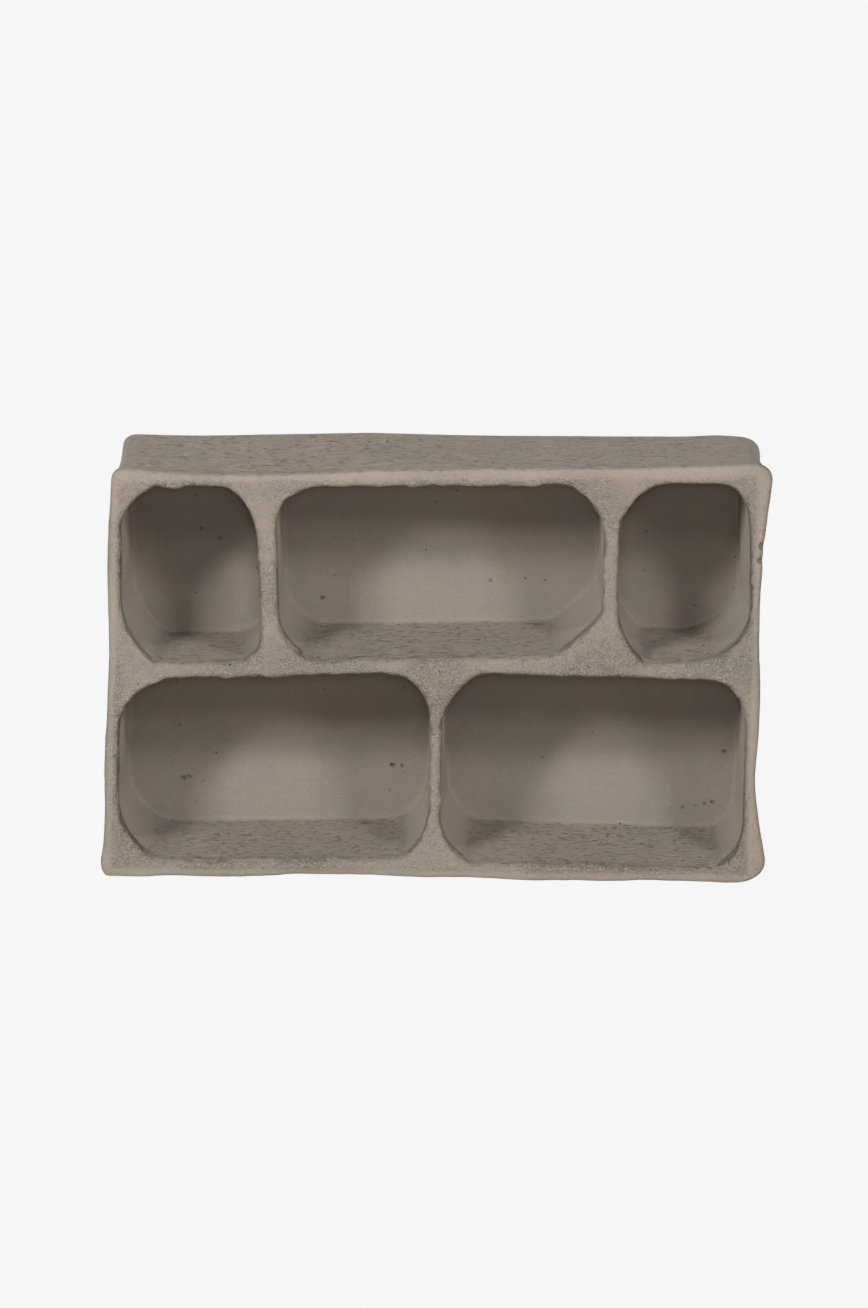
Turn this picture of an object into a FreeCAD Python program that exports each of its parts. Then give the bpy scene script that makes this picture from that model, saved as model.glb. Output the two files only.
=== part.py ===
import FreeCAD, Part
import os

# A wall or table-top display shelf with five open compartments, three above two.
# A carcass of thin greyboard, tabbed together, is covered inside and out with paper pulp.
# Units are millimetres.  X runs to the right, Y to the back, Z up.
# The origin is on the ground under the middle of the shelf.

# Depth, front to back
front_y = -70.0
rim_back_y = -65.0        # the front rim of pulp ends and the greyboard edges start
hollow_back_y = 58.0      # back wall of every compartment
carcass_back_y = 61.0     # rear edges of the carcass boards
board_back_y = 68.5       # rear face of the back board
back_y = 70.0             # rear face of the paper skin

# Greyboard carcass
board_t = 2.5
board_rise = 0.02         # the shelf and the top board climb to the right by this slope
top_board_z = 342.9       # mid-plane of the top board at x = 0
shelf_board_z = 180.8     # mid-plane of the shelf board at x = 0
bottom_board_z = 7.75
left_board_low_x = -270.0          # at z = 0
left_board_high_x = -262.8         # at the height below
left_board_high_z = 338.5
right_board_x = 263.3
upper_left_divider_low_x = -125.0  # at z = 0
upper_left_divider_high_x = -143.4
upper_right_divider_x = 145.0
lower_divider_x = 1.3
tab_length = 24.0
tab_centres_y = (-38.0, 34.0)
board_reach_x = 320.0     # boards are drawn past the carcass this far out, then trimmed
board_low_z = -40.0
board_high_z = 400.0
inside_tolerance = 0.1

# Keyhole hangers, let into the back
hanger_x = 200.0
hanger_z = 293.5
plate_length = 44.0
plate_height = 20.0
plate_rise = 2.0          # the plate's centre stands this far above the keyhole's centre
plate_gap = 0.4           # clearance between a plate and the paper around it
key_hole_r = 4.5
key_slot_r = 2.25
key_slot_rise = 7.0
screw_reach = 16.0        # from the plate's centre to each screw
screw_shank_r = 1.3
screw_head_r = 2.6
screw_head_depth = 1.3
screw_length = 6.5
screw_tip = 1.5
screw_point_r = 0.2
screw_drive_reach = 1.7
screw_drive_width = 0.6
screw_drive_depth = 0.7
block_width = 72.0
block_height = 38.0
pocket_depth = 5.5        # room behind the plate for the head of the wall screw
pocket_margin = 1.5

# Every outline below is seen from the front and lists its corners in the order lower left,
# lower right, upper right, upper left.  A corner is x, z, how far its curve runs along the
# floor or ceiling, how far it runs up or down the side, and how deeply it is cut.

# Outside of the shelf.  It runs a little under the ground and is cut off flat there.
outer_corners = [(-278.4, -5, 12, 16, 0.29), (278.4, -5, 23, 17, 0.28),
                 (276.4, 357.0, 18, 13, 0.27), (-268.6, 347.4, 12, 10, 0.26)]
right_side_points = [(272.7, 50), (268.7, 83), (269.7, 112), (270.5, 155), (269.2, 231),
                     (272, 293)]
left_side_points = [(-270.4, 305), (-272.4, 153), (-275.0, 88), (-274.5, 45), (-276.0, 24)]
outer_half_width = 278.0
outer_height = 356.2
ground_cut = 30.0

# The top edge, from the right: x, z at the rim, and how much higher it is at the back.
top_points = [(110, 351.7, 2.2), (35, 350.2, 3.6), (-45, 348.7, 6.3), (-225, 344.8, 6.2)]

# The lower edge of the rim, from the left.  It stands a little clear of the ground; the
# body behind the rim stands flat.
rim_foot_points = [(-215, 2.0), (-180, 1.0), (-112, 4.2), (-45, 3.0), (22, 2.4), (80, 0.7),
                   (200, 0.4)]
rim_foot_corner_lifts = (0.0, 6.0)   # lower left and lower right

# How far the upper right and upper left corners move between the neck and the back.
upper_corner_shifts = [(-2.9, -2.2), (1.6, 4.2)]

# How far the skin stands inside that outline, from the front rim to the back.
# The rim flares, the neck behind it is slimmer, and the back is full again.
outer_sections = [(-70, 3.2), (-68.8, 1.3), (-66.5, 0.2), (-63, 0.0), (-56, 0.0), (-50, 1.4),
                  (-42, 2.8), (10, 3.0), (35, 2.3), (50, 1.3), (66, 0.3), (68.8, 0.9),
                  (70, 2.2)]
rim_full_y = -56.0        # the rim is as wide as it gets up to here
neck_y = -50.0

# How much wider the mouth of a compartment is at each depth, where its edge is rounded off.
mouth_sections = [(-70, 2.4), (-69, 0.9), (-66.8, 0.0)]

# Compartments.  Shifts move the corners between the mouth and the back wall.
compartments = {
    "upper_left": {
        "corners": [(-261.5, 183.5, 36, 55, 0.33), (-143.8, 183.3, 30, 24, 0.29),
                    (-146.5, 333.5, 34, 60, 0.29), (-261.8, 333.5, 34, 38, 0.33)],
        "shifts": [(1.5, -3.5), (-1.5, -2.0), (-1.5, -1.0), (1.5, -1.0)],
    },
    "upper_middle": {
        "corners": [(-131, 187.5, 36, 40, 0.31), (139.5, 192, 46, 42, 0.40),
                    (139.5, 339, 40, 50, 0.31), (-133, 334, 34, 36, 0.29)],
        "shifts": [(1.5, 2.5), (-1.5, 2.5), (-1.5, -1.0), (1.5, -1.0)],
    },
    "upper_right": {
        "corners": [(150, 188, 30, 52, 0.31), (260.8, 188.3, 52, 46, 0.30),
                    (258.0, 341.5, 25, 35, 0.29), (150, 340.7, 44, 52, 0.29)],
        "shifts": [(1.5, 0.5), (-2.0, 0.5), (-2.0, -1.0), (1.5, -1.0)],
    },
    "lower_left": {
        "corners": [(-265, 12.7, 45, 55, 0.29), (-3, 16.3, 38, 50, 0.27),
                    (-3, 177.5, 40, 46, 0.27), (-263.5, 171.5, 52, 50, 0.29)],
        "shifts": [(1.0, 0.5), (-1.5, 1.0), (-1.5, -1.0), (1.0, -1.0)],
    },
    "lower_right": {
        "corners": [(5, 13.7, 30, 40, 0.33), (260, 12.3, 28, 40, 0.29),
                    (259.5, 175, 40, 44, 0.26), (5.5, 178.7, 34, 44, 0.38)],
        "shifts": [(6.0, 4.0), (1.0, 0.5), (1.0, -1.0), (5.0, -1.0)],
    },
}
corner_directions = [(1, 1), (-1, 1), (-1, -1), (1, -1)]


def point(x, y, z):
    return FreeCAD.Vector(x, y, z)


def corner_curve(corner, direction, y):
    """A curve round one corner, from its side to its floor or ceiling, and its two ends."""
    x, z, run, rise, cut = corner
    to_x, to_z = direction
    tip = point(x, y, z)
    on_side = point(x, y, z + to_z * rise)
    on_level = point(x + to_x * run, y, z)
    pull = (1 - 2 * cut) / (3 / 4)   # so that the curve's middle is cut back by this much
    curve = Part.BezierCurve()
    curve.setPoles([on_side, on_side + (tip - on_side) * pull,
                    on_level + (tip - on_level) * pull, on_level])
    return curve.toShape(), on_side, on_level


def side_curve(start, end, via, y):
    """A side between two corner curves: straight, or smoothly through the points given."""
    if not via:
        return Part.makeLine(start, end)
    curve = Part.BSplineCurve()
    curve.interpolate(Points=[start] + [point(x, y, z) for x, z in via] + [end])
    return curve.toShape()


def closed_outline(corners, y, sides=((), (), (), ())):
    """The outline with these corners at depth y.  Sides go floor, right, ceiling, left."""
    curves = [corner_curve(c, d, y) for c, d in zip(corners, corner_directions)]
    (low_left, ll_side, ll_level), (low_right, lr_side, lr_level) = curves[:2]
    (high_right, hr_side, hr_level), (high_left, hl_side, hl_level) = curves[2:]
    return Part.Wire([
        low_left, side_curve(ll_level, lr_level, sides[0], y),
        low_right, side_curve(lr_side, hr_side, sides[1], y),
        high_right, side_curve(hr_level, hl_level, sides[2], y),
        high_left, side_curve(hl_side, ll_side, sides[3], y),
    ])


def between(value, start, end):
    """0 up to start, 1 from end on, and even in between."""
    return min(max((value - start) / (end - start), 0), 1)


def prism(outline, y0, y1):
    """A straight-sided solid with the given front outline, from depth y0 to y1."""
    ring = [point(x, y0, z) for x, z in outline]
    face = Part.Face(Part.makePolygon(ring + ring[:1]))
    return face.extrude(point(0, y1 - y0, 0))


def slab(y0, y1):
    """All the room between two depths."""
    return Part.makeBox(2 * board_reach_x, y1 - y0, board_high_z - board_low_z,
                        point(-board_reach_x, y0, board_low_z))


def outer_section(y, inset):
    """The outside outline at depth y, moved in by about the inset at the sides and top."""
    across = 1 - inset / outer_half_width
    up = 1 - inset / outer_height
    back = between(y, neck_y, back_y)
    foot = 1 - between(y, rim_full_y, neck_y)
    lower_z = outer_corners[0][1]
    shifts = [(0, foot * lift) for lift in rim_foot_corner_lifts]
    shifts += [(back * dx, back * dz) for dx, dz in upper_corner_shifts]
    corners = [((x + dx) * across, (z + dz) * up, run, rise, cut)
               for (x, z, run, rise, cut), (dx, dz) in zip(outer_corners, shifts)]
    sides = [
        [(x, lower_z + foot * (z - lower_z)) for x, z in rim_foot_points],
        [(x * across, z * up) for x, z in right_side_points],
        [(x * across, (z + back * rise) * up) for x, z, rise in top_points],
        [(x * across, z * up) for x, z in left_side_points],
    ]
    return closed_outline(corners, y, sides)


def outer_body():
    """The whole shelf as one lump, without its compartments."""
    rings = [outer_section(y, inset) for y, inset in outer_sections]
    lump = Part.makeLoft(rings, True, True)
    below = Part.makeBox(2 * board_reach_x, 2 * (back_y - front_y), ground_cut,
                         point(-board_reach_x, 2 * front_y, -ground_cut))
    return lump.cut(below)


def board(x0, z0, x1, z1):
    """A long board whose mid-plane runs from one point to the other, seen from the front."""
    along = FreeCAD.Vector(x1 - x0, 0, z1 - z0).normalize()
    half = along.cross(point(0, 1, 0)) * (board_t / 2)
    outline = [(x0 - half.x, z0 - half.z), (x1 - half.x, z1 - half.z),
               (x1 + half.x, z1 + half.z), (x0 + half.x, z0 + half.z)]
    return prism(outline, rim_back_y, carcass_back_y)


def rising_board(z_middle):
    """A board right across the shelf that climbs to the right."""
    rise = board_reach_x * board_rise
    return board(-board_reach_x, z_middle - rise, board_reach_x, z_middle + rise)


def standing_board(low_x, high_x, high_z):
    """A board from below the ground to above the top through two given points."""
    lean = (high_x - low_x) / high_z
    return board(low_x + lean * board_low_z, board_low_z,
                 low_x + lean * board_high_z, board_high_z)


def tabbed(long_board, hosts, inside):
    """Trim a board between its hosts, and leave tabs that pass through them."""
    body = long_board
    for host in hosts:
        body = body.cut(host)
    body = [s for s in body.Solids if s.isInside(inside, inside_tolerance, True)][0]
    for host in hosts:
        for y in tab_centres_y:
            zone = slab(y - tab_length / 2, y + tab_length / 2)
            body = body.fuse(long_board.common(host).common(zone))
    return body.removeSplitter().Solids[0]


def carcass_outline():
    """Outer faces of the carcass as a four-cornered outline, from the bottom left."""
    half = board_t / 2
    lean = (left_board_high_x - left_board_low_x) / left_board_high_z
    low_z = bottom_board_z - half
    left_low_x = left_board_low_x + lean * low_z - half
    right_x = right_board_x + half
    right_top_z = top_board_z + board_rise * right_x + half
    left_top_z = top_board_z + board_rise * left_board_high_x + half
    left_high_x = left_board_low_x + lean * left_top_z - half
    return [(left_low_x, low_z), (right_x, low_z), (right_x, right_top_z),
            (left_high_x, left_top_z)]


def carcass_boards():
    """The eight boards of the carcass, each with its tabs, by name."""
    shell = prism(carcass_outline(), rim_back_y, carcass_back_y)
    top = rising_board(top_board_z).common(shell)
    bottom = board(-board_reach_x, bottom_board_z, board_reach_x, bottom_board_z)
    bottom = bottom.common(shell)
    left = standing_board(left_board_low_x, left_board_high_x, left_board_high_z)
    right = standing_board(right_board_x, right_board_x, left_board_high_z)
    lower_z = shelf_board_z / 2
    left_lower_x = left_board_low_x + lower_z / left_board_high_z \
        * (left_board_high_x - left_board_low_x)
    left = tabbed(left.common(shell), [top, bottom], point(left_lower_x, 0, lower_z))
    right = tabbed(right.common(shell), [top, bottom], point(right_board_x, 0, lower_z))
    shelf = rising_board(shelf_board_z).common(shell)
    shelf = tabbed(shelf, [left, right], point(0, 0, shelf_board_z))
    upper_z = (shelf_board_z + top_board_z) / 2
    upper_left_x = upper_left_divider_low_x + upper_z / left_board_high_z \
        * (upper_left_divider_high_x - upper_left_divider_low_x)
    upper_left = standing_board(upper_left_divider_low_x, upper_left_divider_high_x,
                                left_board_high_z)
    upper_left = tabbed(upper_left.common(shell), [top, shelf],
                        point(upper_left_x, 0, upper_z))
    upper_right = standing_board(upper_right_divider_x, upper_right_divider_x, board_high_z)
    upper_right = tabbed(upper_right.common(shell), [top, shelf],
                         point(upper_right_divider_x, 0, upper_z))
    lower = standing_board(lower_divider_x, lower_divider_x, board_high_z)
    lower = tabbed(lower.common(shell), [shelf, bottom],
                   point(lower_divider_x, 0, lower_z))
    top = top.cut(left).cut(right).cut(upper_left).cut(upper_right)
    bottom = bottom.cut(left).cut(right).cut(lower)
    left = left.cut(shelf)
    right = right.cut(shelf)
    shelf = shelf.cut(upper_left).cut(upper_right).cut(lower)
    return {
        "core_top_board": top, "core_bottom_board": bottom, "core_left_board": left,
        "core_right_board": right, "core_shelf_board": shelf,
        "core_upper_left_divider": upper_left, "core_upper_right_divider": upper_right,
        "core_lower_divider": lower,
    }


def widened(corners, extra):
    """The same corners with every side moved out."""
    return [(x - to_x * extra, z - to_z * extra, run + extra, rise + extra, cut)
            for (x, z, run, rise, cut), (to_x, to_z) in zip(corners, corner_directions)]


def hollow(compartment):
    """The open room of a compartment, from the front of the rim to its back wall."""
    front = compartment["corners"]
    back = [(x + dx, z + dz, run, rise, cut) for (x, z, run, rise, cut), (dx, dz)
            in zip(front, compartment["shifts"])]
    rings = [closed_outline(widened(front, extra), y) for y, extra in mouth_sections]
    rings.append(closed_outline(back, hollow_back_y))
    return Part.makeLoft(rings, True, True)


def pulp_linings(boards, hollows):
    """The pulp inside each cell of the carcass, round its compartment."""
    rooms = prism(carcass_outline(), rim_back_y, carcass_back_y)
    for piece in boards.values():
        rooms = rooms.cut(piece)
    linings = {}
    for name, room in hollows.items():
        middle = room.BoundBox.Center
        cell = [s for s in rooms.Solids if s.isInside(middle, inside_tolerance, True)][0]
        linings["lining_" + name] = cell.cut(room)
    return linings


def outer_pulp(hollows):
    """The pulp over the carcass: round its outside, over its front edges and its back."""
    body = outer_body()
    carcass = prism(carcass_outline(), rim_back_y, board_back_y)
    rim = body.common(slab(front_y, rim_back_y))
    for room in hollows.values():
        rim = rim.cut(room)
    return {
        "outer_wrap": body.common(slab(rim_back_y, board_back_y)).cut(carcass),
        "front_rim": rim,
        "back_skin": body.common(slab(board_back_y, back_y)),
    }


def rod(x, z, r, y0, y1):
    """A round rod along Y."""
    return Part.makeCylinder(r, y1 - y0, point(x, y0, z), point(0, 1, 0))


def stadium(x0, z0, x1, z1, r, y0, y1):
    """A slot shape along Y: everything within r of the line between two points."""
    along = FreeCAD.Vector(x1 - x0, 0, z1 - z0).normalize()
    side = along.cross(point(0, 1, 0)) * r
    outline = [(x0 - side.x, z0 - side.z), (x1 - side.x, z1 - side.z),
               (x1 + side.x, z1 + side.z), (x0 + side.x, z0 + side.z)]
    ends = rod(x0, z0, r, y0, y1).fuse(rod(x1, z1, r, y0, y1))
    return prism(outline, y0, y1).fuse(ends).removeSplitter()


def plate_blank(x, grow):
    """A hanger plate with round ends and no holes, grown on all sides."""
    r = plate_height / 2
    reach = plate_length / 2 - r
    z = hanger_z + plate_rise
    return stadium(x - reach, z, x + reach, z, r + grow, board_back_y, back_y)


def block_blank(x):
    """A hanger block before its pocket and screw holes are made."""
    corner = point(x - block_width / 2, carcass_back_y, hanger_z + plate_rise - block_height / 2)
    return Part.makeBox(block_width, board_back_y - carcass_back_y, block_height, corner)


def plain_screw(x, z):
    """A countersunk screw driven in from the back, without its cross recess."""
    head_y = back_y - screw_head_depth
    tip_y = back_y - screw_length
    head = Part.makeCone(screw_shank_r, screw_head_r, screw_head_depth,
                         point(x, head_y, z), point(0, 1, 0))
    shank = rod(x, z, screw_shank_r, tip_y + screw_tip, head_y)
    tip = Part.makeCone(screw_point_r, screw_shank_r, screw_tip, point(x, tip_y, z), point(0, 1, 0))
    return head.fuse(shank).fuse(tip)


def cross_recess(x, z):
    """The cross in a screw's head."""
    y = back_y - screw_drive_depth
    reach = screw_drive_reach
    half = screw_drive_width / 2
    flat = Part.makeBox(2 * reach, screw_drive_depth, 2 * half, point(x - reach, y, z - half))
    tall = Part.makeBox(2 * half, screw_drive_depth, 2 * reach, point(x - half, y, z - reach))
    return flat.fuse(tall)


def hanger(x):
    """One keyhole hanger: its plate, the wooden block behind it and two screws."""
    screw_z = hanger_z + plate_rise
    slot_top = hanger_z + key_slot_rise
    places = [x - screw_reach, x + screw_reach]
    screws = [plain_screw(place, screw_z) for place in places]
    plate = plate_blank(x, 0)
    plate = plate.cut(rod(x, hanger_z, key_hole_r, board_back_y, back_y))
    plate = plate.cut(stadium(x, hanger_z, x, slot_top, key_slot_r, board_back_y, back_y))
    pocket = stadium(x, hanger_z, x, slot_top, key_hole_r + pocket_margin,
                     board_back_y - pocket_depth, board_back_y)
    block = block_blank(x).cut(pocket)
    for screw in screws:
        plate = plate.cut(screw)
        block = block.cut(screw)
    screws = [screw.cut(cross_recess(place, screw_z)) for screw, place in zip(screws, places)]
    return plate, block, screws


def main():
    os.makedirs("parts", exist_ok=True)
    hollows = {name: hollow(room) for name, room in compartments.items()}
    nodes = carcass_boards()
    nodes.update(pulp_linings(nodes, hollows))
    nodes.update(outer_pulp(hollows))
    nodes["back_board"] = prism(carcass_outline(), carcass_back_y, board_back_y)
    screws = []
    for side, x in (("left", -hanger_x), ("right", hanger_x)):
        plate, block, pair = hanger(x)
        nodes["hanger_plate_" + side] = plate
        nodes["hanger_block_" + side] = block
        screws += pair
        nodes["back_board"] = nodes["back_board"].cut(block_blank(x))
        nodes["back_skin"] = nodes["back_skin"].cut(plate_blank(x, plate_gap))
    nodes["hanger_screws"] = Part.makeCompound(screws)
    for name, shape in nodes.items():
        shape.exportStep("parts/" + name + ".step")


main()
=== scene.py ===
import math

import bmesh
import bpy
import numpy as np
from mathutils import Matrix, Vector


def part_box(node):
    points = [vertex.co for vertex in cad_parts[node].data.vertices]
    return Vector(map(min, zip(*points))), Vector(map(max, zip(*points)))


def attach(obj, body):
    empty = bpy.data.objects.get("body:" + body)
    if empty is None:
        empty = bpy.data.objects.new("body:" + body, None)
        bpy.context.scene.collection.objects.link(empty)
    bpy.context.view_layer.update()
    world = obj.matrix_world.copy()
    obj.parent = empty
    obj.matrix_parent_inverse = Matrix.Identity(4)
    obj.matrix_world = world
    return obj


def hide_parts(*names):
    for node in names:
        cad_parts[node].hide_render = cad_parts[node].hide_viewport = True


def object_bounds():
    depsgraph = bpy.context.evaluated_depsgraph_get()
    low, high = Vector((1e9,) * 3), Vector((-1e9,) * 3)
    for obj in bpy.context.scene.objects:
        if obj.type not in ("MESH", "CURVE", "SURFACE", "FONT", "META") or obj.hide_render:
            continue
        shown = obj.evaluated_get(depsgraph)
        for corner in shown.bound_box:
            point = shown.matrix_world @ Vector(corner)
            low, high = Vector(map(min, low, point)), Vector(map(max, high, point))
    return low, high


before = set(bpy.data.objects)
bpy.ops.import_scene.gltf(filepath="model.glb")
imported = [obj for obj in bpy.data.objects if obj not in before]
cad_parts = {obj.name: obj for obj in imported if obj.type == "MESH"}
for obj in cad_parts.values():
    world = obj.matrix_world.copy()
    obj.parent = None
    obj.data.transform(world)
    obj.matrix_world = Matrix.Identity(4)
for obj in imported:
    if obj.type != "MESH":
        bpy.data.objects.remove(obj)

import openvdb as vdb
from mathutils import Matrix, Vector

# A display shelf of rough grey-brown paper pulp over a greyboard carcass.
# The pulp is shaped as one skin on a grid, from the solids of the frame: joined, rounded and
# roughened. It is then cut into one closed piece for each pulp node. Units are metres.

for stray in [o for o in bpy.data.objects if o.type in ("MESH", "LIGHT", "CAMERA")]:
    if stray.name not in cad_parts:
        bpy.data.objects.remove(stray, do_unlink=True)

cad_low, cad_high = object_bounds()

# Grid
VOXEL = 0.0012
PAD = 0.008             # room kept free round the shelf
BAND = 4                # cells on each side of a surface where the distance is known
SEAL = 0.0010           # gaps between neighbouring solids up to twice this are filled
ROUNDING = 0.0015       # spread of the blur that rounds all edges
GROWTH = 0.0003         # the last coat of pulp, over everything

# Colours
PULP_COOL = (165, 156, 145)
PULP_WARM = (169, 157, 145)
# painted shade for the inside of the carved pits and notches
PIT_SHADE_TONE = (92, 70, 54)
BOARD_DARK = (128, 121, 110)
BOARD_PALE = (156, 149, 137)
BOARD_FLECK = (96, 88, 78)
WOOD_PALE = (205, 174, 130)
WOOD_DARK = (170, 126, 82)
WOOD_GRAIN = (142, 104, 68)
ZINC = ((168, 170, 172), (205, 207, 208), (140, 141, 140))              # plain, scratched, dull
YELLOW_ZINC = ((182, 178, 164), (214, 210, 198), (150, 144, 128))
BACKGROUND = (246, 246, 246)
FLOOR_GLOW = (0.385, 0.345, 0.31, 1.0)      # the warm light that the floor sends up, linear

# Skin
RIM_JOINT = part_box("outer_wrap")[0].y
BACK_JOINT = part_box("back_skin")[0].y
BACK_FACE = cad_high.y
PLATE_GAP = 0.0004      # between the back skin and the edge of a hanger plate
CUT_MARGIN = 0.05       # how far a cutting box reaches past the shelf
CARCASS_OVERCUT = 0.01  # how far the carcass is drawn out of both ends of its sleeve
PLATE_OVERCUT = 0.002   # how far a hanger plate is drawn out of the skin to cut its hole

# Joining corners of a hull
SAME_PLACE = 1e-6
SAME_PLANE = math.radians(1.0)

LININGS = sorted(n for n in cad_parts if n.startswith("lining_"))
BOARDS = sorted(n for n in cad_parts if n.startswith("core_")) + ["back_board"]
PLATES = sorted(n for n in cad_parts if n.startswith("hanger_plate_"))


# ---------------------------------------------------------------- meshes

def mesh_corners(mesh):
    """Places of a mesh's corners, one row each."""
    corners = np.empty(len(mesh.vertices) * 3, np.float32)
    mesh.vertices.foreach_get("co", corners)
    return corners.reshape(-1, 3)


def mesh_triangles(mesh):
    """Corner numbers of a mesh's triangles, one row each."""
    mesh.calc_loop_triangles()
    triangles = np.empty(len(mesh.loop_triangles) * 3, np.int32)
    mesh.loop_triangles.foreach_get("vertices", triangles)
    return triangles.reshape(-1, 3)


def hull_mesh(name, nodes):
    """The smallest convex solid round these nodes, with flat sides made of single faces."""
    made = bmesh.new()
    for node in nodes:
        for corner in mesh_corners(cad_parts[node].data):
            made.verts.new(corner)
    found = bmesh.ops.convex_hull(made, input=made.verts)
    unused = set(found["geom_interior"]) | set(found["geom_unused"])
    unused = [v for v in unused if isinstance(v, bmesh.types.BMVert)]
    bmesh.ops.delete(made, geom=unused, context="VERTS")
    bmesh.ops.remove_doubles(made, verts=made.verts, dist=SAME_PLACE)
    bmesh.ops.dissolve_limit(made, angle_limit=SAME_PLANE, verts=made.verts, edges=made.edges)
    bmesh.ops.recalc_face_normals(made, faces=made.faces)
    mesh = bpy.data.meshes.new(name)
    made.to_mesh(mesh)
    made.free()
    return mesh


def add_object(name, mesh):
    """A new object of the scene."""
    made = bpy.data.objects.new(name, mesh)
    bpy.context.scene.collection.objects.link(made)
    return made


def remove_object(unwanted):
    """Take away an object together with its mesh."""
    mesh = unwanted.data
    bpy.data.objects.remove(unwanted, do_unlink=True)
    bpy.data.meshes.remove(mesh)


def zone_object(low, high):
    """A box between two corners, used as a cutting zone."""
    made = bmesh.new()
    bmesh.ops.create_cube(made, size=1.0)
    for v in made.verts:
        v.co = [low[i] + (v.co[i] + 0.5) * (high[i] - low[i]) for i in range(3)]
    mesh = bpy.data.meshes.new("zone")
    made.to_mesh(mesh)
    made.free()
    return add_object("zone", mesh)


def combined(name, first, other, operation):
    """A new object: the first one with the other intersected or cut away."""
    made = add_object(name, first.data)
    step = made.modifiers.new("cut", "BOOLEAN")
    step.operation = operation
    step.object = other
    step.solver = "MANIFOLD"
    graph = bpy.context.evaluated_depsgraph_get()
    mesh = bpy.data.meshes.new_from_object(made.evaluated_get(graph))
    mesh.name = name
    made.modifiers.clear()
    made.data = mesh
    return made


# ---------------------------------------------------------------- grid

grid_low = np.array(cad_low) - PAD
grid_size = np.ceil((np.array(cad_high) + PAD - grid_low) / VOXEL).astype(int) + 1
to_grid = vdb.createLinearTransform(VOXEL)
axis_x, axis_y, axis_z = (grid_low[i] + np.arange(grid_size[i]) * VOXEL for i in range(3))
X = axis_x[:, None, None].astype(np.float32)
Y = axis_y[None, :, None].astype(np.float32)
Z = axis_z[None, None, :].astype(np.float32)


def field_of(corners, **faces):
    """Signed distance to a closed mesh on the grid, negative inside."""
    faces = {kind: np.ascontiguousarray(ids.astype(np.uint32)) for kind, ids in faces.items()}
    level = vdb.FloatGrid.createLevelSetFromPolygons(
        np.ascontiguousarray((corners - grid_low).astype(np.float32)),
        transform=to_grid, halfWidth=float(BAND), **faces)
    field = np.full(grid_size, BAND * VOXEL, np.float32)
    level.copyToArray(field)
    return field


def surface_of(field, level):
    """Corners and quads of the surface where the field has this value."""
    grid = vdb.FloatGrid(BAND * VOXEL)
    grid.transform = to_grid
    grid.gridClass = vdb.GridClass.LEVEL_SET
    grid.copyFromArray(np.ascontiguousarray(field.astype(np.float32)))
    corners, quads = grid.convertToQuads(isovalue=level)
    return corners + grid_low, quads


def hull_field(nodes):
    """Signed distance to the smallest convex solid round these nodes."""
    mesh = hull_mesh("hull", nodes)
    field = field_of(mesh_corners(mesh), triangles=mesh_triangles(mesh))
    bpy.data.meshes.remove(mesh)
    return field


BLUR_REACH = 3          # where the blur's weights end, in spreads


def blurred(field, spread):
    """Gaussian blur along each axis in turn, with the edge values held."""
    reach = int(np.ceil(BLUR_REACH * spread))
    steps = np.arange(-reach, reach + 1)
    weights = np.exp(-steps * steps / (2 * spread * spread))
    weights /= weights.sum()
    for axis in range(3):
        width = [(0, 0)] * 3
        width[axis] = (reach, reach)
        wide = np.pad(field, width, mode="edge")
        result = np.zeros_like(field)
        for step, weight in zip(steps, weights):
            part = [slice(None)] * 3
            part[axis] = slice(reach + step, reach + step + field.shape[axis])
            result += np.float32(weight) * wide[tuple(part)]
        field = result
    return field


def spline_weights(axis, start, wave):
    """Weights of a smooth curve through evenly spaced knots at every grid place."""
    place = (axis - start) / wave
    knot = np.floor(place).astype(int)
    f = place - knot
    weights = np.zeros((len(axis), knot.max() + 4), np.float32)
    row = np.arange(len(axis))
    weights[row, knot] = (1 - f) ** 3 / 6
    weights[row, knot + 1] = (3 * f ** 3 - 6 * f ** 2 + 4) / 6
    weights[row, knot + 2] = (-3 * f ** 3 + 3 * f ** 2 + 3 * f + 1) / 6
    weights[row, knot + 3] = f ** 3 / 6
    return weights


SPARE_KNOTS = 6         # knots past the far end, more than a smooth curve needs


def waves(size, seed):
    """Smooth random waves over the whole grid, of about this size, spread evenly about 0."""
    start = np.array(cad_low) - 2 * PAD
    end = np.array(cad_high) + 2 * PAD
    along = [spline_weights(axis, start[i], size)
             for i, axis in enumerate((axis_x, axis_y, axis_z))]
    counts = [int((end[i] - start[i]) / size) + SPARE_KNOTS for i in range(3)]
    knots = np.random.default_rng(seed).standard_normal(counts).astype(np.float32)
    knots = knots[tuple(slice(w.shape[1]) for w in along)]
    field = np.tensordot(along[0], knots, axes=(1, 0))
    field = np.tensordot(field, along[1], axes=(1, 1)).transpose(0, 2, 1)
    field = np.tensordot(field, along[2], axes=(2, 1))
    return field / field.std()


def ramp(value, start, end):
    """0 before start, 1 after end, smooth in between."""
    t = np.clip((value - start) / (end - start), 0, 1)
    return t * t * (3 - 2 * t)


# ---------------------------------------------------------------- pulp skin

def outline_distance():
    """Signed distance in X and Z to the outside of the greyboard carcass."""
    hull = hull_mesh("carcass", BOARDS)
    result = np.full((grid_size[0], 1, grid_size[2]), -1.0, np.float32)
    for face in hull.polygons:
        n = face.normal
        looks_sideways = abs(n.y) < 0.5
        if looks_sideways:
            at = hull.vertices[face.vertices[0]].co
            result = np.maximum(result, (X - at.x) * n.x + (Z - at.z) * n.z)
    bpy.data.meshes.remove(hull)
    return result


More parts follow.
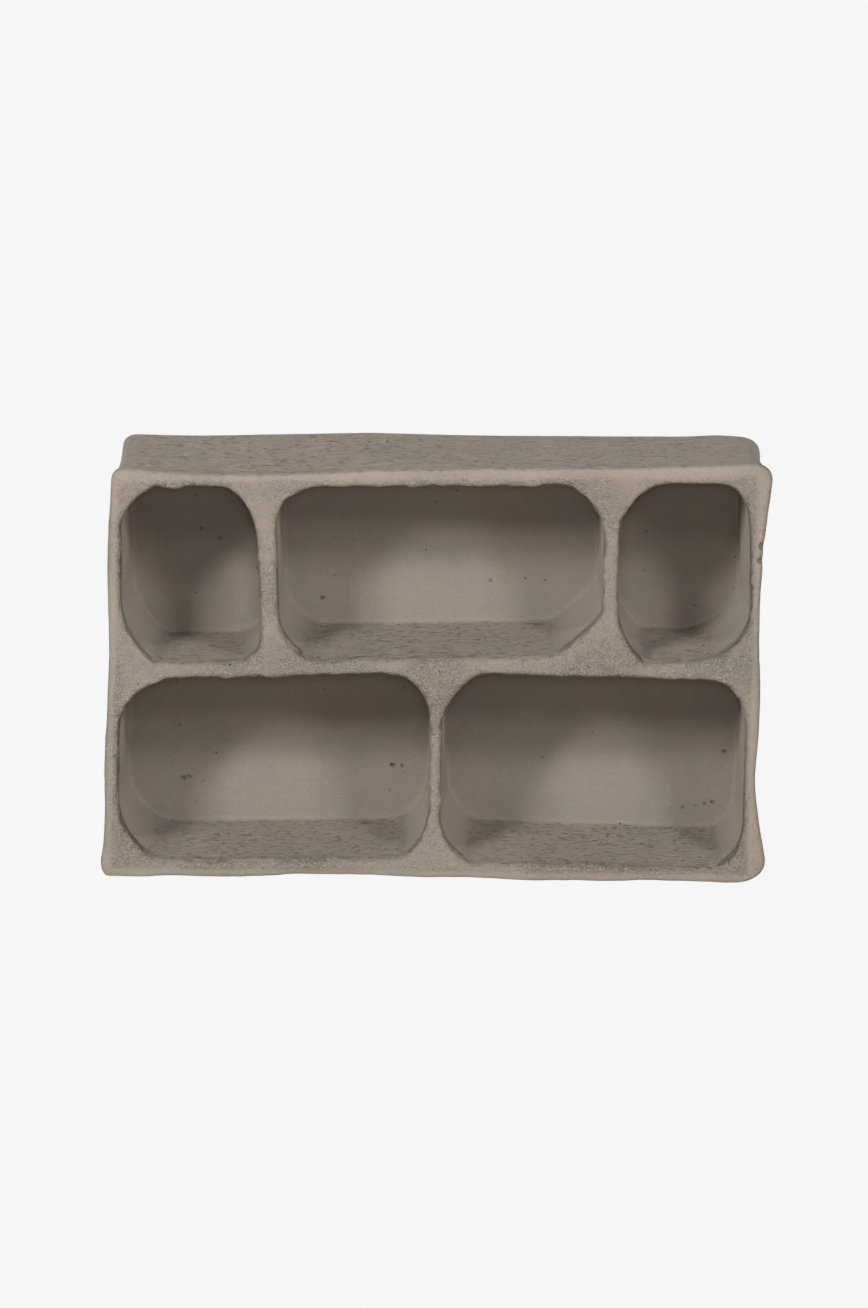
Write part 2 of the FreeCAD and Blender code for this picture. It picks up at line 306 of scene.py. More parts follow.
def joined_solids():
    """All pulp, the carcass and the room behind the hanger plates as one solid."""
    field = hull_field(["back_board"])
    for plate in PLATES:
        field = np.minimum(field, hull_field([plate]))
    for node in LININGS + BOARDS + ["front_rim", "outer_wrap", "back_skin"]:
        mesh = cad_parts[node].data
        field = np.minimum(field, field_of(mesh_corners(mesh), triangles=mesh_triangles(mesh)))
    corners, quads = surface_of(field, SEAL)
    return field_of(corners, quads=quads) + np.float32(SEAL)


def near(centre, reach):
    """The block of the grid within reach of a point, and the place of its cells."""
    place = [(c - grid_low[i]) / VOXEL for i, c in enumerate(centre)]
    block = tuple(slice(max(int(p - reach / VOXEL), 0), int(p + reach / VOXEL) + 2)
                  for p in place)
    x, y, z = centre
    return block, (X[block[0]] - x, Y[:, block[1]] - y, Z[:, :, block[2]] - z)


def first_surface(field, x, z):
    """Depth of the first surface met at x, z, looking back from the middle of the shelf."""
    column = field[int((x - grid_low[0]) / VOXEL), :, int((z - grid_low[2]) / VOXEL)]
    start = int((0.0 - grid_low[1]) / VOXEL)
    return axis_y[start + np.argmax(column[start:] < 0)]


CARVE_REACH = 2.2       # how far out a dent is worked, in its own sizes
CARVE_RAGGED = 0.35     # how far its edge wanders, in its own sizes
MARK_START, MARK_FULL = -0.5, 0.3       # where its painted shade starts and is full, in depths


def carve(field, mark, rough, centre, size, depth):
    """A ragged dent of this size along X, Y and Z round a point, noted in mark for the painted
    shade drawn into it.
    """
    block, (dx, dy, dz) = near(centre, CARVE_REACH * max(size))
    reach = np.sqrt((dx / size[0]) ** 2 + (dy / size[1]) ** 2 + (dz / size[2]) ** 2)
    hole = (1 + CARVE_RAGGED * rough[block] - reach) * depth
    field[block] = np.maximum(field[block], hole)
    shown = ramp(hole, MARK_START * depth, MARK_FULL * depth)
    mark[block] = np.maximum(mark[block], shown)


# Open pits on the back walls, for each lining: place across, place up and radius.
PITS = {
    "lining_lower_left": [
        (0.185, 0.53, 0.0013), (0.20, 0.25, 0.0016), (0.215, 0.26, 0.0010),
        (0.26, 0.24, 0.0009), (0.87, 0.33, 0.0017), (0.90, 0.33, 0.0010),
        (0.86, 0.20, 0.0010)],
    "lining_lower_right": [
        (0.955, 0.41, 0.0013), (0.945, 0.33, 0.0010), (0.915, 0.155, 0.0013),
        (0.89, 0.145, 0.0010), (0.86, 0.135, 0.0011), (0.82, 0.125, 0.0012),
        (0.78, 0.12, 0.0009)],
    "lining_upper_left": [
        (0.42, 0.60, 0.0009), (0.50, 0.59, 0.0010), (0.62, 0.54, 0.0009)],
    "lining_upper_right": [
        (0.28, 0.55, 0.0011), (0.26, 0.34, 0.0011)],
    "lining_upper_middle": [
        (0.66, 0.30, 0.0009), (0.71, 0.36, 0.0008), (0.16, 0.20, 0.0012),
        (0.195, 0.32, 0.0008)],
}
PIT_SHAPE = (1.3, 1.0, 0.9)     # along X, Y and Z, in radii
PIT_DEPTH = 0.6                 # in radii

# Two notches in the right edge of the rim: place up the shelf and half height.
NOTCHES = [(0.813, 0.0050), (0.775, 0.0042)]
NOTCH_WIDTH = 0.0030
NOTCH_LENGTH = 0.0040
NOTCH_DEPTH = 0.0016
NOTCH_OUTSET = 0.0010           # of the middle of a notch from the edge of the rim
NOTCH_FRONT = cad_low.y + 0.0020
NOTCH_SHADE_SHARE = 0.3                # how much of a pit's painted shade a notch has


def pits_and_notches(field, rough):
    """Carve the pits and notches into the field, and say how hollowed each place is."""
    mark = np.zeros(grid_size, np.float32)
    for node, pits in PITS.items():
        low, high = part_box(node)
        for across, up, radius in pits:
            x = low.x + across * (high.x - low.x)
            z = low.z + up * (high.z - low.z)
            centre = (x, first_surface(field, x, z), z)
            size = [radius * part for part in PIT_SHAPE]
            carve(field, mark, rough, centre, size, PIT_DEPTH * radius)
    notch = np.zeros(grid_size, np.float32)
    for up, half_height in NOTCHES:
        z = up * cad_high.z
        row = field[:, int((RIM_JOINT - grid_low[1]) / VOXEL), int((z + PAD) / VOXEL)]
        x = axis_x[np.nonzero(row < 0)[0].max()]
        centre = (x + NOTCH_OUTSET, NOTCH_FRONT, z)
        carve(field, notch, rough, centre, (NOTCH_WIDTH, NOTCH_LENGTH, half_height), NOTCH_DEPTH)
    return np.maximum(mark, NOTCH_SHADE_SHARE * notch)


# Waves of the whole skin: height, size and seed. The flat back keeps only a share of them.
BROAD_WAVES = [(0.00035, 0.060, 1), (0.00025, 0.020, 2)]
BACK_SHARE = 0.3
FINE_SIZE, FINE_SEED = 0.0036, 5
MIDDLE_SIZE, MIDDLE_SEED = 0.0075, 4
FINE_HEIGHT = 0.00020
MIDDLE_HEIGHT = 0.00016
TORN_HEIGHT = 0.00032

# A low hump on the top, near the right end.
HUMP_X = 0.85 * cad_high.x
HUMP_SPREAD = 0.018
HUMP_HEIGHT = 0.0012


def crumbly_places(field, inside):
    """How crumbly the rim is at each place, and where the mouths have torn edges."""
    front = ramp(-Y, -RIM_JOINT - 0.016, -RIM_JOINT - 0.002)
    patch = 0.70 + 0.30 * np.clip(waves(0.026, 3), -1, 1)
    # The walls just behind the rim show how far each place of the rim is from a mouth.
    walls = field[:, int((RIM_JOINT + 0.004 - grid_low[1]) / VOXEL), :][:, None, :]
    by_mouth = 0.55 + 0.45 * (1 - ramp(-walls, 0.0015, 0.0060))
    off_outline = ramp(-inside, -0.0005, 0.0040)
    crumb = front * (0.25 + 0.75 * off_outline) * patch * by_mouth
    torn = front * (1 - ramp(abs(walls), 0.0005, 0.0045)) * ramp(-inside, 0.0, 0.006)
    torn *= 0.5 + 0.5 * np.clip(waves(0.014, 6), -1, 1)
    return crumb, torn


def shaped_pulp():
    """The finished skin's field, and how crumbly and how hollowed it is at each place."""
    field = blurred(joined_solids(), ROUNDING / VOXEL) - np.float32(GROWTH)
    crumb, torn = crumbly_places(field, outline_distance())
    off_back = 1 - ramp(Y, BACK_JOINT - 0.012, BACK_JOINT - 0.004)
    for height, size, seed in BROAD_WAVES:
        field += height * waves(size, seed) * (BACK_SHARE + (1 - BACK_SHARE) * off_back)
    fine = waves(FINE_SIZE, FINE_SEED)
    middle = waves(MIDDLE_SIZE, MIDDLE_SEED)
    field += MIDDLE_HEIGHT * middle * (0.25 + 0.75 * crumb) * off_back
    field += FINE_HEIGHT * fine * (0.08 + 0.92 * crumb) * off_back
    field += TORN_HEIGHT * (fine + middle) * torn
    hump = np.exp(-((X - HUMP_X) / HUMP_SPREAD) ** 2) * ramp(Y, 0.020, 0.055)
    field -= HUMP_HEIGHT * hump * ramp(Z, 0.9 * cad_high.z, 0.95 * cad_high.z)
    mark = pits_and_notches(field, fine)
    field = np.maximum(field, -Z)
    field = np.maximum(field, Y - np.float32(BACK_FACE))
    return field, crumb, mark


def sampled(field, corners):
    """The field's value at each corner."""
    place = (corners - grid_low) / VOXEL
    cell = np.clip(np.floor(place).astype(int), 0, np.array(field.shape) - 2)
    f = place - cell
    total = 0
    for dx in (0, 1):
        for dy in (0, 1):
            for dz in (0, 1):
                weight = (abs(1 - dx - f[:, 0]) * abs(1 - dy - f[:, 1]) * abs(1 - dz - f[:, 2]))
                total = total + weight * field[cell[:, 0] + dx, cell[:, 1] + dy, cell[:, 2] + dz]
    return total


def quad_mesh(name, corners, quads):
    """A mesh of quads, turned so that their front sides look outward."""
    mesh = bpy.data.meshes.new(name)
    mesh.vertices.add(len(corners))
    mesh.vertices.foreach_set("co", np.ascontiguousarray(corners, np.float32).ravel())
    mesh.loops.add(quads.size)
    mesh.loops.foreach_set("vertex_index", np.ascontiguousarray(quads[:, ::-1], np.int32).ravel())
    mesh.polygons.add(len(quads))
    mesh.polygons.foreach_set("loop_start", np.arange(0, quads.size, 4, dtype=np.int32))
    mesh.update(calc_edges=True)
    mesh.validate()
    return mesh


NORMAL_STEP = 0.6 * VOXEL       # over which the field's slope is taken
CUT_DEPTH = 0.6 * VOXEL         # a face with a corner deeper than this is a cut face
CUT_AGREEMENT = 0.5             # so is one whose normal agrees less than this with the skin's
SHORTEST = 1e-9


def skin_normals(field, corners):
    """The direction in which the field grows at each corner."""
    slope = np.empty(corners.shape)
    for axis in range(3):
        step = np.zeros(3)
        step[axis] = NORMAL_STEP
        slope[:, axis] = sampled(field, corners + step) - sampled(field, corners - step)
    return slope / np.maximum(np.linalg.norm(slope, axis=1), SHORTEST)[:, None]


def shading_normals(mesh, field, corners):
    """For each face corner the skin's normal, or the face's own where the skin was cut."""
    loops = np.empty(len(mesh.loops), np.int32)
    mesh.loops.foreach_get("vertex_index", loops)
    smooth = skin_normals(field, corners)[loops]
    face_normals = np.empty(len(mesh.polygons) * 3, np.float32)
    mesh.polygons.foreach_get("normal", face_normals)
    totals = np.empty(len(mesh.polygons), np.int32)
    mesh.polygons.foreach_get("loop_total", totals)
    owner = np.repeat(np.arange(len(totals)), totals)
    flat = face_normals.reshape(-1, 3)[owner]
    agreement = np.full(len(totals), 1.0)
    np.minimum.at(agreement, owner, (flat * smooth).sum(axis=1))
    depth = np.zeros(len(totals))
    np.maximum.at(depth, owner, -sampled(field, corners)[loops])
    cut = (agreement < CUT_AGREEMENT) | (depth > CUT_DEPTH)
    return np.where(cut[owner][:, None], flat, smooth)


def finish_skin(piece, field, notes):
    """Give a piece its shading normals and the values noted for the material."""
    mesh = piece.data
    corners = mesh_corners(mesh).astype(np.float64)
    normals = shading_normals(mesh, field, corners)
    mesh.polygons.foreach_set("use_smooth", np.ones(len(mesh.polygons), bool))
    mesh.normals_split_custom_set(normals.tolist())
    for name, note in notes.items():
        values = mesh.attributes.new(name, "FLOAT", "POINT")
        values.data.foreach_set("value", sampled(note, corners).astype(np.float32))


def cut_zone(name, skin, low, high):
    """The part of the skin between two corners."""
    zone = zone_object(low, high)
    piece = combined(name, skin, zone, "INTERSECT")
    remove_object(zone)
    return piece


def plate_hole(plate):
    """A hanger plate's outline, a little wider than the plate and drawn out along Y."""
    hole = add_object("hole", hull_mesh("hole", [plate]))
    corners = hole.data.vertices
    centre = sum((v.co for v in corners), Vector()) / len(corners)
    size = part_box(plate)[1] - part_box(plate)[0]
    for v in corners:
        v.co.x = centre.x + (v.co.x - centre.x) * (1 + 2 * PLATE_GAP / size.x)
        v.co.z = centre.z + (v.co.z - centre.z) * (1 + 2 * PLATE_GAP / size.z)
        v.co.y += PLATE_OVERCUT if v.co.y > centre.y else -PLATE_OVERCUT
    return hole


def cut_back_skin(skin, low, high):
    """The sheet over the back, with a hole for each hanger plate."""
    sheet = cut_zone("sheet", skin, (low[0], BACK_JOINT, low[2]), high)
    for plate in PLATES:
        hole = plate_hole(plate)
        pierced = combined("sheet", sheet, hole, "DIFFERENCE")
        remove_object(hole)
        remove_object(sheet)
        sheet = pierced
    sheet.name = "pulp_back_skin"
    sheet.data.name = "pulp_back_skin"
    return sheet


def cut_outer_wrap(skin, low, high):
    """The sleeve round the carcass, between the rim and the back skin."""
    block = cut_zone("block", skin, (low[0], RIM_JOINT, low[2]), (high[0], BACK_JOINT, high[2]))
    carcass = add_object("carcass", hull_mesh("carcass", BOARDS))
    for v in carcass.data.vertices:
        v.co.y += CARCASS_OVERCUT if v.co.y > 0 else -CARCASS_OVERCUT
    sleeve = combined("pulp_outer_wrap", block, carcass, "DIFFERENCE")
    remove_object(block)
    remove_object(carcass)
    return sleeve


def make_pulp():
    """One closed piece for each pulp node, cut from the common skin."""
    field, crumb, mark = shaped_pulp()
    skin = add_object("skin", quad_mesh("skin", *surface_of(field, 0.0)))
    low = [c - CUT_MARGIN for c in cad_low]
    high = [c + CUT_MARGIN for c in cad_high]
    pieces = {}
    for node in LININGS:
        cell = add_object("cell", hull_mesh("cell", [node]))
        pieces[node] = combined("pulp_" + node, skin, cell, "INTERSECT")
        remove_object(cell)
    pieces["front_rim"] = cut_zone("pulp_front_rim", skin, low, (high[0], RIM_JOINT, high[2]))
    pieces["back_skin"] = cut_back_skin(skin, low, high)
    pieces["outer_wrap"] = cut_outer_wrap(skin, low, high)
    remove_object(skin)
    for node, piece in pieces.items():
        finish_skin(piece, field, {"crumb": crumb, "dent": mark})
        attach(piece, "root")
        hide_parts(node)
    return pieces


# ---------------------------------------------------------------- materials

# The mix node holds sockets of every data type under equal names, so they go by number.
MIX_AMOUNT = 0
MIX_NUMBERS = (2, 3)
MIX_COLOURS = (6, 7)
MIX_NUMBER_RESULT = 0
MIX_COLOUR_RESULT = 2


class Nodes:
    """Short calls that build a node material. Sizes are in metres."""

    def __init__(self, name):
        self.material = bpy.data.materials.new(name)
        self.material.use_nodes = True
        self.tree = self.material.node_tree
        self.tree.nodes.clear()
        self.output = self.add("ShaderNodeOutputMaterial")
        self.shader = self.add("ShaderNodeBsdfPrincipled")
        self.join(self.shader.outputs["BSDF"], self.output.inputs["Surface"])
        self.place = self.add("ShaderNodeTexCoord").outputs["Object"]

    def add(self, kind, **settings):
        """A new node with these settings."""
        node = self.tree.nodes.new(kind)
        for key, value in settings.items():
            setattr(node, key, value)
        return node

    def join(self, source, target):
        """Link a socket to the target, or set the target to a plain value."""
        if hasattr(source, "is_output"):
            self.tree.links.new(source, target)
        else:
            target.default_value = source

    def in_units_of(self, size, stretch):
        """The place on the object, counted in cells of this size."""
        node = self.add("ShaderNodeVectorMath", operation="MULTIPLY")
        self.join(self.place, node.inputs[0])
        node.inputs[1].default_value = [1 / (size * s) for s in stretch]
        return node.outputs["Vector"]

    def noise(self, size, detail=3.0, rough=0.55, stretch=(1, 1, 1), warp=0.0):
        """Noise from 0 to 1 whose lumps are about this size."""
        node = self.add("ShaderNodeTexNoise")
        node.inputs["Scale"].default_value = 1.0
        node.inputs["Detail"].default_value = detail
        node.inputs["Roughness"].default_value = rough
        node.inputs["Distortion"].default_value = warp
        self.join(self.in_units_of(size, stretch), node.inputs["Vector"])
        return self.ramp(node.outputs["Fac"], 0.25, 0.75)

    def spots(self, size, stretch=(1, 1, 1)):
        """Distance to the nearest of many scattered points in cells, and the cell's colour."""
        node = self.add("ShaderNodeTexVoronoi")
        node.inputs["Scale"].default_value = 1.0
        self.join(self.in_units_of(size, stretch), node.inputs["Vector"])
        return node.outputs["Distance"], node.outputs["Color"]

    def math(self, operation, a, b=0.0):
        node = self.add("ShaderNodeMath", operation=operation)
        self.join(a, node.inputs[0])
        self.join(b, node.inputs[1])
        return node.outputs[0]

    def times(self, a, b):
        return self.math("MULTIPLY", a, b)

    def plus(self, a, b):
        return self.math("ADD", a, b)

    def minus(self, a, b):
        return self.math("SUBTRACT", a, b)

    def lines(self, pattern, core, edge):
        """Thin lines where a noise crosses its middle: 1 within core of it, 0 past edge."""
        away = self.math("ABSOLUTE", self.minus(pattern, 0.5))
        return self.ramp(away, core, edge, 1.0, 0.0)

    def ramp(self, value, low, high, to_low=0.0, to_high=1.0):
        """A smooth step between two values as the input goes from low to high."""
        node = self.add("ShaderNodeMapRange", interpolation_type="SMOOTHSTEP")
        self.join(value, node.inputs["Value"])
        self.join(low, node.inputs["From Min"])
        self.join(high, node.inputs["From Max"])
        self.join(to_low, node.inputs["To Min"])
        self.join(to_high, node.inputs["To Max"])
        return node.outputs["Result"]

    def mix(self, amount, a, b, kind="MIX"):
        """Between the colours a and b."""
        node = self.add("ShaderNodeMix", data_type="RGBA", blend_type=kind)
        self.join(amount, node.inputs[MIX_AMOUNT])
        self.join(colour(a), node.inputs[MIX_COLOURS[0]])
        self.join(colour(b), node.inputs[MIX_COLOURS[1]])
        return node.outputs[MIX_COLOUR_RESULT]

    def blend(self, amount, a, b):
        """Between the numbers a and b."""
        node = self.add("ShaderNodeMix", data_type="FLOAT")
        self.join(amount, node.inputs[MIX_AMOUNT])
        self.join(a, node.inputs[MIX_NUMBERS[0]])
        self.join(b, node.inputs[MIX_NUMBERS[1]])
        return node.outputs[MIX_NUMBER_RESULT]

    def note(self, name):
        """A value noted at each corner of the mesh."""
        return self.add("ShaderNodeAttribute", attribute_name=name).outputs["Fac"]

    def total(self, *terms):
        """The sum of value times weight over all terms."""
        result = 0.0
        for value, weight in terms:
            node = self.add("ShaderNodeMath", operation="MULTIPLY_ADD")
            self.join(value, node.inputs[0])
            self.join(weight, node.inputs[1])
            self.join(result, node.inputs[2])
            result = node.outputs[0]
        return result

    def grey(self, value):
        node = self.add("ShaderNodeCombineColor")
        for channel in ("Red", "Green", "Blue"):
            self.join(value, node.inputs[channel])
        return node.outputs["Color"]

    def part(self, vector, axis):
        node = self.add("ShaderNodeSeparateXYZ")
        self.join(vector, node.inputs[0])
        return node.outputs[axis]

    def bump(self, height):
        """Bump from a height in metres."""
        node = self.add("ShaderNodeBump")
        node.inputs["Strength"].default_value = 1.0
        node.inputs["Distance"].default_value = 1.0
        self.join(height, node.inputs["Height"])
        return node.outputs["Normal"]

    def finish(self, base, roughness, normal=None, metal=0.0, shine=0.5):
        self.join(base, self.shader.inputs["Base Color"])
        self.join(roughness, self.shader.inputs["Roughness"])
        self.join(metal, self.shader.inputs["Metallic"])
        self.join(shine, self.shader.inputs["Specular IOR Level"])
        if normal is not None:
            self.join(normal, self.shader.inputs["Normal"])
        return self.material


def colour(value):
    """Red, green and blue from 0 to 255 as the eye sees them, turned into linear light."""
    if not isinstance(value, tuple):
        return value
    parts = [c / 255 for c in value]
    return tuple(c / 12.92 if c <= 0.04045 else ((c + 0.055) / 1.055) ** 2.4
                 for c in parts) + (1.0,)


def round_spots(n, size, empty_share, radius, soft, stretch=(1, 1, 1)):
    """Scattered spots of up to this radius and with a soft edge, both counted in cells."""
    reach, cell = n.spots(size, stretch)
    width = n.ramp(n.part(cell, "X"), empty_share, 1.0, 0.0, radius)
    return n.ramp(n.minus(width, reach), 0.0, soft)


def ragged_pits(n, fibre):
    """Scattered open pits with an edge that follows the fibres."""
    reach, cell = n.spots(0.0085)
    radius = n.ramp(n.part(cell, "X"), 0.78, 1.0, 0.0, 0.12)
    ragged = n.plus(radius, n.times(fibre, 0.05))
    return n.ramp(n.minus(ragged, reach), 0.015, 0.045)


def fine_pricks(n, crumb):
    """Pinholes, more and larger where the pulp is crumbly."""
    reach, cell = n.spots(0.0034)
    radius = n.times(n.ramp(n.part(cell, "Y"), 0.84, 1.0, 0.0, 0.24), n.plus(0.25, crumb))
    return n.ramp(n.minus(radius, reach), 0.0, 0.08)


def pulp_patterns(n):
    """The named patterns that make up the pulp's relief and tone, each from 0 to 1."""
    facing = n.add("ShaderNodeNewGeometry").outputs["Normal"]
    up = n.ramp(n.part(facing, "Z"), 0.75, 0.95)
    sideways = n.ramp(n.math("ABSOLUTE", n.part(facing, "X")), 0.6, 0.9)
    crumb = n.note("crumb")
    fibre = n.noise(0.0016, 3.0, 0.65)
    lump = n.noise(0.0055, 3.0, 0.55, warp=0.4)
    along_x = n.noise(0.0015, 3.0, 0.65, (8.0, 1.0, 1.0), warp=0.3)
    along_y = n.noise(0.0016, 3.0, 0.6, (1.0, 9.0, 1.5), warp=0.3)
    crack = n.lines(n.noise(0.0042, 3.0, 0.6, warp=0.6), 0.03, 0.20)
    tear = n.lines(n.noise(0.0030, 3.0, 0.6, (5.0, 1.0, 1.0), warp=0.8), 0.02, 0.16)
    tear = n.times(tear, n.ramp(lump, 0.55, 0.80))
    fleck = round_spots(n, 0.0048, 0.70, 0.20, 0.06, (3.2, 1.0, 1.0))
    under_top = n.ramp(n.part(n.place, "Z"), 0.93 * cad_high.z, 0.95 * cad_high.z, 1.0, 0.0)
    return {
        "up": up,
        "fibre": fibre,
        "lump": lump,
        "streak": n.blend(sideways, along_x, along_y),
        "grain": n.noise(0.0014, 2.0, 0.7, warp=0.5),
        "crack": n.times(crack, n.ramp(lump, 0.45, 0.75)),
        "tear": n.times(tear, up),
        "pit": ragged_pits(n, fibre),
        "prick": fine_pricks(n, crumb),
        "fleck": n.times(fleck, n.plus(0.15, n.times(up, 0.85))),
        "crumb": n.times(crumb, n.minus(1.0, n.times(up, 0.80))),
        # the floors below the top, for painted shade
        "painted_floor_shade": n.times(under_top, n.ramp(n.part(facing, "Z"), 0.25, 0.98)),
        # the front of the rim, for painted light
        "painted_rim_light": n.ramp(n.part(n.place, "Y"), RIM_JOINT - 0.003, RIM_JOINT + 0.002, 1.0, 0.0),
    }


def pulp_height(n, p):
    """Relief of the pulp in metres."""
    return n.total(
        (p["fibre"], n.plus(0.00022, n.times(p["crumb"], 0.0003))),
        (p["lump"], 0.00040),
        (p["streak"], n.plus(0.00005, n.times(p["up"], 0.0004))),
        (p["grain"], n.times(p["crumb"], 0.0034)),
        (p["crack"], n.times(p["crumb"], -0.0016)),
        (p["tear"], -0.0004),
        (p["pit"], -0.0011),
        (p["prick"], -0.0008),
        (p["fleck"], 0.0003))


def pulp_shade(n, p):
    """How light the pulp is at each place, as a factor on its colour."""
    # grains are drawn lighter where they stand up, and cracks, tears, pits and pricks darker
    # where they sink in: painted shade that follows the relief
    shade = n.total(
        (p["fibre"], 0.14),
        (p["streak"], n.plus(0.03, n.times(p["up"], 0.30))),
        (p["grain"], n.times(p["crumb"], 1.10)),
        (p["crack"], n.times(p["crumb"], -0.30)),
        (p["tear"], -0.30),
        (p["pit"], -0.50),
        (p["prick"], -0.40),
        (p["fleck"], 0.30))
    shade = n.plus(shade, n.minus(0.94, n.times(p["crumb"], 0.46)))
    # faces that look up are drawn darker, in part to offset the mean of their brush streaks and
    # in part as painted shade
    shade = n.minus(shade, n.times(p["up"], 0.22))
    # the front of the rim is drawn lighter: painted light
    shade = n.plus(shade, n.times(p["painted_rim_light"], 0.14))
    # floors below the top are drawn darker: painted shade
    return n.minus(shade, n.times(p["painted_floor_shade"], 0.18))


def pulp_material():
    """Matt brushed-on paper pulp: fibres, brush streaks, grains, pits and pale flecks."""
    n = Nodes("pulp_surface")
    p = pulp_patterns(n)
    mottle = n.noise(0.040, 4.0, 0.6)
    base = n.mix(n.ramp(mottle, 0.30, 0.70), PULP_COOL, PULP_WARM)
    base = n.mix(1.0, base, n.grey(pulp_shade(n, p)), "MULTIPLY")
    # carved pits and notches are drawn darker towards the pit shade tone: painted shade in the
    # dents
    base = n.mix(n.times(n.note("dent"), 0.75), base, PIT_SHADE_TONE)
    rough = n.ramp(p["fibre"], 0.2, 0.8, 0.97, 0.88)
    n.shader.inputs["Diffuse Roughness"].default_value = 0.6
    return n.finish(base, rough, n.bump(pulp_height(n, p)), shine=0.12)


def greyboard_material():
    """Grey recycled board: felted flecks of fibre and layers that show at the edges."""
    n = Nodes("greyboard_surface")
    felt = n.noise(0.0012, 4.0, 0.7)
    layer = n.noise(0.0006, 2.0, 0.5, (30.0, 30.0, 1.0))
    fleck = round_spots(n, 0.004, 0.6, 0.25, 0.05, (2.0, 1.0, 1.0))
    base = n.mix(felt, BOARD_DARK, BOARD_PALE)
    base = n.mix(n.times(fleck, 0.5), base, BOARD_FLECK)
    height = n.total((felt, 0.00012), (layer, 0.00010), (fleck, -0.00006))
    return n.finish(base, n.ramp(felt, 0.2, 0.8, 0.95, 0.82), n.bump(height), shine=0.15)


RING_PACE = 2200.0      # radians of the ring pattern in one metre


def softwood_material():
    """Sawn pine: growth rings cut lengthwise and fine open grain along X."""
    n = Nodes("softwood_surface")
    sway = n.noise(0.030, 2.0, 0.5, (3.0, 1.0, 1.0))
    swayed = n.plus(n.part(n.place, "Z"), n.times(sway, 0.010))
    rings = n.ramp(n.math("SINE", n.times(swayed, RING_PACE)), -0.6, 1.0)
    fibre = n.noise(0.0007, 3.0, 0.6, (16.0, 1.0, 1.0))
    base = n.mix(rings, WOOD_PALE, WOOD_DARK)
    base = n.mix(n.times(fibre, 0.35), base, WOOD_GRAIN)
    height = n.total((fibre, 0.00012), (rings, 0.00006))
    return n.finish(base, n.ramp(fibre, 0.2, 0.8, 0.75, 0.6), n.bump(height), shine=0.3)


def steel_material(name, tone, scratched, dull):
    """Zinc-plated steel: cloudy plating, fine scratches and worn, duller patches."""
    n = Nodes(name)
    cloud = n.noise(0.006, 3.0, 0.6)
    spangle = n.spots(0.0022)[1]
    scratch = n.noise(0.0004, 2.0, 0.5, (28.0, 1.0, 1.0), warp=0.2)
    scratch = n.ramp(scratch, 0.58, 0.72)
    base = n.mix(n.ramp(cloud, 0.3, 0.7), tone, dull)
    base = n.mix(n.times(n.part(spangle, "X"), 0.25), base, scratched)
    base = n.mix(n.times(scratch, 0.35), base, scratched)
    rough = n.plus(n.total((cloud, 0.25), (scratch, -0.10)), 0.28)
    height = n.total((scratch, -0.00002), (cloud, 0.00003))
    return n.finish(base, rough, n.bump(height), metal=1.0)


def paint(thing, material):
    """Give a thing this one material."""
    thing.data.materials.clear()
    thing.data.materials.append(material)


# ---------------------------------------------------------------- scene

pulp = pulp_material()
for piece in make_pulp().values():
    paint(piece, pulp)

greyboard = greyboard_material()
softwood = softwood_material()
plate_steel = steel_material("plate_steel", *ZINC)
screw_steel = steel_material("screw_steel", *YELLOW_ZINC)
for name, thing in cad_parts.items():
    if name in BOARDS:
        paint(thing, greyboard)
    elif name.startswith("hanger_block"):
        paint(thing, softwood)
    elif name.startswith("hanger_plate"):
        paint(thing, plate_steel)
    elif name == "hanger_screws":
        paint(thing, screw_steel)


FLOOR_REACH = 6.0
FLOOR_DROP = 0.0005     # keeps the floor clear of the shelf's underside


def camera_switch(tree, output):
    """A shader whose second input only the camera sees, joined to the output."""
    switch = tree.nodes.new("ShaderNodeMixShader")
    path = tree.nodes.new("ShaderNodeLightPath")
    tree.links.new(path.outputs["Is Camera Ray"], switch.inputs[0])
    tree.links.new(switch.outputs[0], output.inputs["Surface"])
    return switch.inputs[1], switch.inputs[2]


def floor_material():
    """Seen by the camera as an even pale tone, while the shelf gets a warm glow from it."""
    material = bpy.data.materials.new("floor")
    material.use_nodes = True
    tree = material.node_tree
    tree.nodes.clear()
    to_others, to_camera = camera_switch(tree, tree.nodes.new("ShaderNodeOutputMaterial"))
    for target, tone in ((to_others, FLOOR_GLOW), (to_camera, colour(BACKGROUND))):
        glow = tree.nodes.new("ShaderNodeEmission")
        glow.inputs["Color"].default_value = tone
        tree.links.new(glow.outputs[0], target)
    return material


def make_floor():
    mesh = bpy.data.meshes.new("floor")
    corners = [(-1, -1), (1, -1), (1, 1), (-1, 1)]
    mesh.from_pydata([(x * FLOOR_REACH, y * FLOOR_REACH, 0) for x, y in corners], [],
                     [range(len(corners))])
    floor = add_object("floor", mesh)
    floor.location.z = -FLOOR_DROP
    floor.data.materials.append(floor_material())


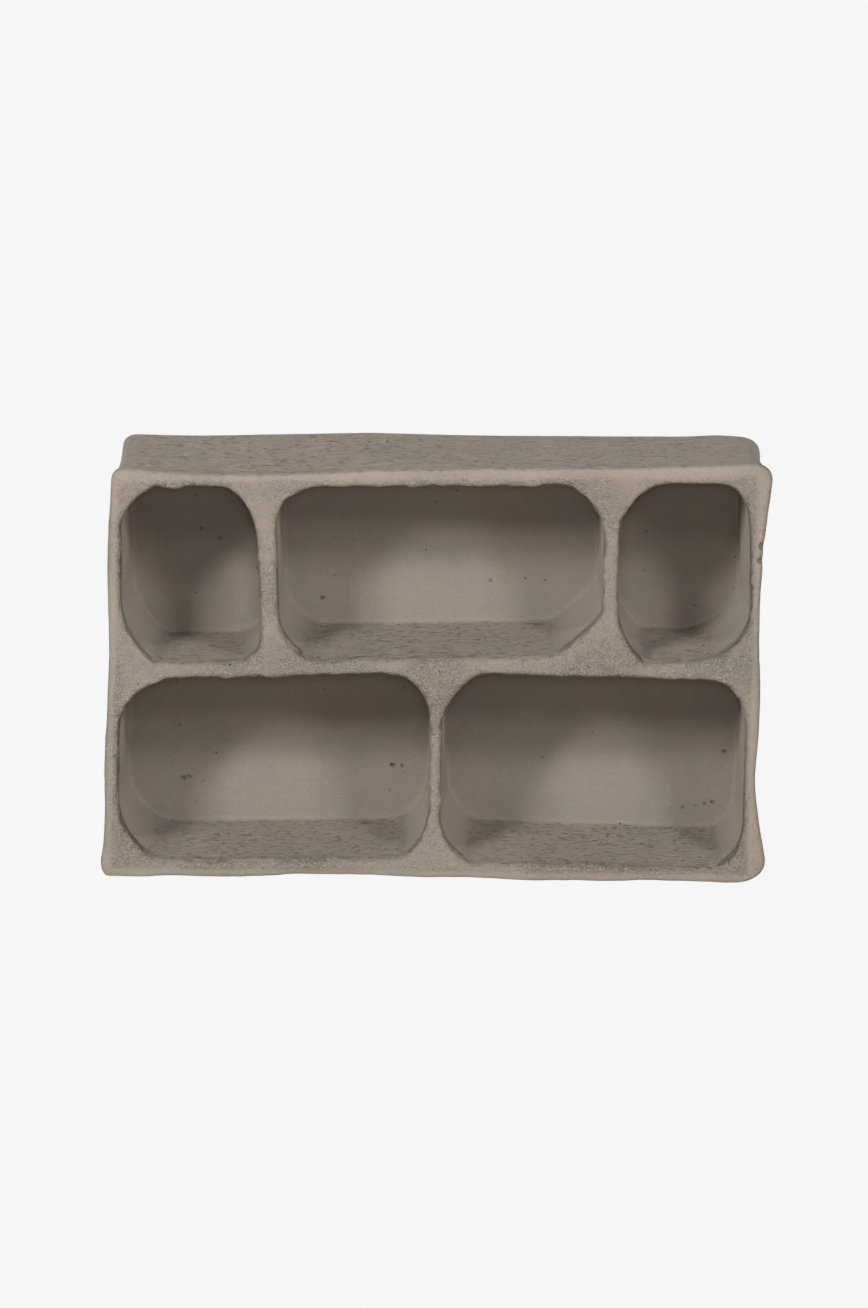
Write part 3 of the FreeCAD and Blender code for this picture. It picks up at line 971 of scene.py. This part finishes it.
def make_world():
    """A pale background that only the camera sees."""
    world = bpy.data.worlds.new("studio")
    bpy.context.scene.world = world
    world.use_nodes = True
    tree = world.node_tree
    tree.nodes.clear()
    to_camera = camera_switch(tree, tree.nodes.new("ShaderNodeOutputWorld"))[1]
    seen = tree.nodes.new("ShaderNodeBackground")
    seen.inputs["Color"].default_value = colour(BACKGROUND)
    tree.links.new(seen.outputs[0], to_camera)


# Soft square lights: azimuth from the front, elevation, and power in watts.
LIGHTS = [(-30, 33, 25), (-37, 24, 19), (0, 14, 9), (0, 32, 5), (0, 42, 5),
          (30, 24, 4), (30, 34, 17), (37, 14, 2.2), (37, 22, 6), (150, 8, 22), (-150, 8, 16)]
LIGHT_DISTANCE = 3.0
LIGHT_SIZE = 0.3


def make_light(name, azimuth, elevation, power):
    """A soft square light that looks at the middle of the shelf."""
    middle = Vector((0, 0, cad_high.z / 2))
    a, e = math.radians(azimuth), math.radians(elevation)
    away = Vector((math.sin(a) * math.cos(e), -math.cos(a) * math.cos(e), math.sin(e)))
    data = bpy.data.lights.new(name, "AREA")
    data.shape = "SQUARE"
    data.size = LIGHT_SIZE
    data.energy = power
    light = bpy.data.objects.new(name, data)
    bpy.context.scene.collection.objects.link(light)
    light.location = middle + away * LIGHT_DISTANCE
    light.rotation_euler = (-away).to_track_quat("-Z", "Y").to_euler()


CAMERA_PITCH = math.radians(13.5)
CAMERA_ROLL = math.radians(0.65)
CAMERA_DISTANCE = 4.2
CAMERA_TARGET = (-0.001, cad_low.y, 0.1950)
SENSOR_WIDTH = 36.0     # mm
FOCAL_LENGTH = 139.3    # mm


def make_camera():
    data = bpy.data.cameras.new("camera")
    data.sensor_width = SENSOR_WIDTH
    data.lens = FOCAL_LENGTH
    camera = bpy.data.objects.new("camera", data)
    bpy.context.scene.collection.objects.link(camera)
    away = Vector((0, -math.cos(CAMERA_PITCH), math.sin(CAMERA_PITCH)))
    camera.location = Vector(CAMERA_TARGET) + away * CAMERA_DISTANCE
    turn = (-away).to_track_quat("-Z", "Y").to_matrix().to_4x4()
    camera.rotation_euler = (turn @ Matrix.Rotation(CAMERA_ROLL, 4, "Z")).to_euler()
    bpy.context.scene.camera = camera


make_floor()
make_world()
for number, (azimuth, elevation, power) in enumerate(LIGHTS):
    make_light("soft_light_%d" % number, azimuth, elevation, power)
make_camera()
bpy.context.scene.view_settings.view_transform = "Standard"
